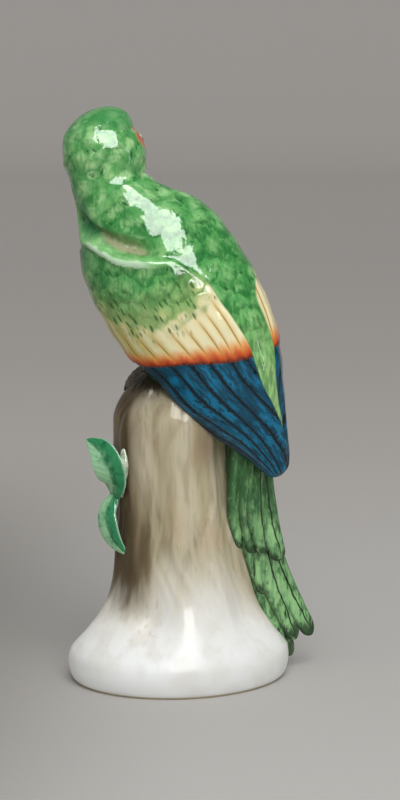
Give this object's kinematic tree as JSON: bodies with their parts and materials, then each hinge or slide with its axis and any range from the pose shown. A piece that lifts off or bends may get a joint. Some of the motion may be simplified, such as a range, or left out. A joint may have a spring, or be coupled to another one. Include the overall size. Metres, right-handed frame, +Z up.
{
  "type": "parrot figurine",
  "caption": "Glazed porcelain parrot perched on a flared tree stump, tail hanging beside it and leaves on the stump's side; stands on a flat underside.",
  "frame": {"origin": "centre of the stump base's flat underside", "axes": "+Z up; the parrot turns its back to -Y, and its tail hangs on the +X side of the stump"},
  "size_m": [0.0714, 0.062, 0.1599],
  "materials": {
    "painted_porcelain": "clear gloss glaze over hand painting"
  },
  "bodies": {
    "root": {"parrot_figurine": "painted_porcelain"}
  },
  "joints": []
}
